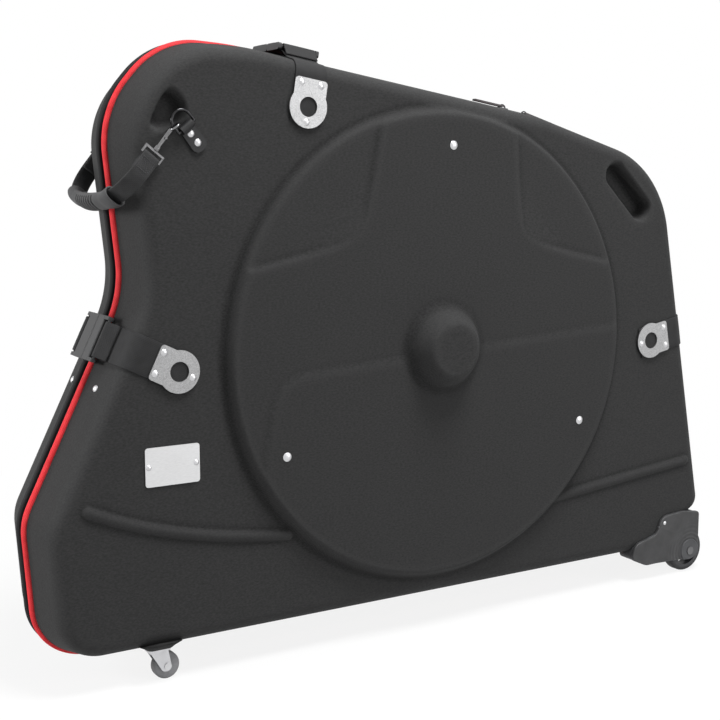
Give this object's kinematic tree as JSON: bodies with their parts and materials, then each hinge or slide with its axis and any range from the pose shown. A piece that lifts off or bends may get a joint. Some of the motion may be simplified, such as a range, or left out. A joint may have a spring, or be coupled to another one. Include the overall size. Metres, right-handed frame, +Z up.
{
  "type": "bicycle travel case",
  "caption": "Moulded hard-foam bicycle travel case with hinged halves, zip, buckled straps, carry handle, trolley wheels and swivel casters",
  "frame": {"origin": "floor level under the middle of the overall box, on the seam plane between the two halves", "axes": "+X along the case towards the trolley wheels, +Y from the pictured front to the back, +Z up"},
  "size_m": [1.1803, 0.272, 0.8652],
  "materials": {
    "eva_shell": "woven nylon skin bonded to moulded foam, matte",
    "piping_red": "woven red edge piping",
    "piping_black": "woven black edge piping",
    "zip_tape": "woven zip tape with coil",
    "webbing": "flat woven webbing",
    "rivet_steel": "polished domed rivets and pins",
    "plate_steel": "brushed sheet steel",
    "zinc_steel": "zinc-plated steel",
    "tab_plastic": "grained moulded plastic",
    "housing_plastic": "moulded dark grey plastic",
    "wheel_plastic": "moulded wheel centre",
    "tyre_rubber": "wheel tread",
    "caster_rubber": "grey caster tread",
    "buckle_plastic": "moulded acetal buckle",
    "grip_rubber": "soft moulded grip",
    "slider_metal": "black enamelled slider"
  },
  "bodies": {
    "rear_half": {"rear_shell": "eva_shell", "rear_piping": "piping_black", "rear_zip_tape": "zip_tape", "rear_hinge_flap": "webbing", "rear_rivets": "rivet_steel", "rear_wheel_ties": "webbing", "rear_ring_tab": "tab_plastic", "rear_wheel_housing": "housing_plastic", "rear_axle": "rivet_steel", "rear_caster_plate": "zinc_steel", "rear_top_plate": "plate_steel", "rear_left_plate": "plate_steel", "rear_right_plate": "plate_steel", "rear_top_strap": "webbing", "rear_left_strap": "webbing", "rear_right_strap": "webbing", "top_buckle_socket": "buckle_plastic", "left_buckle_socket": "buckle_plastic", "right_buckle_socket": "buckle_plastic"},
    "front_half": {"front_shell": "eva_shell", "front_piping": "piping_red", "front_zip_tape": "zip_tape", "front_hinge_flap": "webbing", "front_rivets": "rivet_steel", "front_wheel_ties": "webbing", "front_ring_tab": "tab_plastic", "front_wheel_housing": "housing_plastic", "front_axle": "rivet_steel", "front_caster_plate": "zinc_steel", "front_top_plate": "plate_steel", "front_left_plate": "plate_steel", "front_right_plate": "plate_steel", "front_top_strap": "webbing", "front_left_strap": "webbing", "front_right_strap": "webbing", "top_buckle_plug": "buckle_plastic", "left_buckle_plug": "buckle_plastic", "right_buckle_plug": "buckle_plastic", "name_plate": "plate_steel"},
    "front_ring": {"front_d_ring": "zinc_steel"},
    "rear_ring": {"rear_d_ring": "zinc_steel"},
    "handle": {"front_snap_hook": "zinc_steel", "rear_snap_hook": "zinc_steel", "handle_webbing": "webbing", "handle_grip": "grip_rubber"},
    "front_roller": {"front_trolley_wheel": "wheel_plastic", "front_trolley_tyre": "tyre_rubber"},
    "front_fork": {"front_caster_fork": "zinc_steel", "front_caster_axle": "rivet_steel"},
    "front_caster": {"front_caster_wheel": "caster_rubber"},
    "rear_roller": {"rear_trolley_wheel": "wheel_plastic", "rear_trolley_tyre": "tyre_rubber"},
    "rear_fork": {"rear_caster_fork": "zinc_steel", "rear_caster_axle": "rivet_steel"},
    "rear_caster": {"rear_caster_wheel": "caster_rubber"},
    "left_slider": {"left_zip_slider": "slider_metal"},
    "left_pull": {"left_zip_pull": "grip_rubber"},
    "right_slider": {"right_zip_slider": "slider_metal"},
    "right_pull": {"right_zip_pull": "grip_rubber"}
  },
  "joints": [
    {"name": "lid_hinge", "type": "hinge", "parent": "rear_half", "child": "front_half", "pos_m": [0, 0, 0.0438], "axis": [1, 0, 0], "range_deg": [0, 90]},
    {"name": "handle_swing", "type": "hinge", "parent": "rear_half", "child": "handle", "pos_m": [-0.38587, 0, 0.75263], "axis": [0, 1, 0], "range_deg": [0, 75]},
    {"name": "front_ring_lift", "type": "hinge", "parent": "front_half", "child": "front_ring", "pos_m": [-0.37944, -0.09085, 0.74497], "axis": [0.766, 0, 0.6428], "range_deg": [0, 12]},
    {"name": "rear_ring_lift", "type": "hinge", "parent": "rear_half", "child": "rear_ring", "pos_m": [-0.37944, 0.09085, 0.74497], "axis": [-0.766, 0, -0.6428], "range_deg": [0, 12]},
    {"name": "front_roller_spin", "type": "hinge", "parent": "front_half", "child": "front_roller", "pos_m": [0.5521, -0.072, 0.038], "axis": [0, 1, 0], "continuous": true},
    {"name": "front_caster_swivel", "type": "hinge", "parent": "front_half", "child": "front_fork", "pos_m": [-0.42671, -0.064, 0.019], "axis": [0, 0, 1], "continuous": true},
    {"name": "front_caster_spin", "type": "hinge", "parent": "front_fork", "child": "front_caster", "pos_m": [-0.41471, -0.064, 0.019], "axis": [0, 1, 0], "continuous": true},
    {"name": "rear_roller_spin", "type": "hinge", "parent": "rear_half", "child": "rear_roller", "pos_m": [0.5521, 0.072, 0.038], "axis": [0, 1, 0], "continuous": true},
    {"name": "rear_caster_swivel", "type": "hinge", "parent": "rear_half", "child": "rear_fork", "pos_m": [-0.42671, 0.064, 0.019], "axis": [0, 0, 1], "continuous": true},
    {"name": "rear_caster_spin", "type": "hinge", "parent": "rear_fork", "child": "rear_caster", "pos_m": [-0.41471, 0.064, 0.019], "axis": [0, 1, 0], "continuous": true},
    {"name": "left_zip", "type": "slide", "parent": "rear_half", "child": "left_slider", "axis": [-0.9876, 0, 0.1571], "range_m": [0, 0.28]},
    {"name": "right_zip", "type": "slide", "parent": "rear_half", "child": "right_slider", "axis": [0.9604, 0, -0.2785], "range_m": [0, 0.13]},
    {"name": "left_pull_lift", "type": "hinge", "parent": "left_slider", "child": "left_pull", "pos_m": [0.1998, 0, 0.7907], "axis": [0, 1, 0], "range_deg": [0, 120]},
    {"name": "right_pull_lift", "type": "hinge", "parent": "right_slider", "child": "right_pull", "pos_m": [0.24368, 0, 0.78091], "axis": [0, -1, 0], "range_deg": [0, 120]}
  ]
}
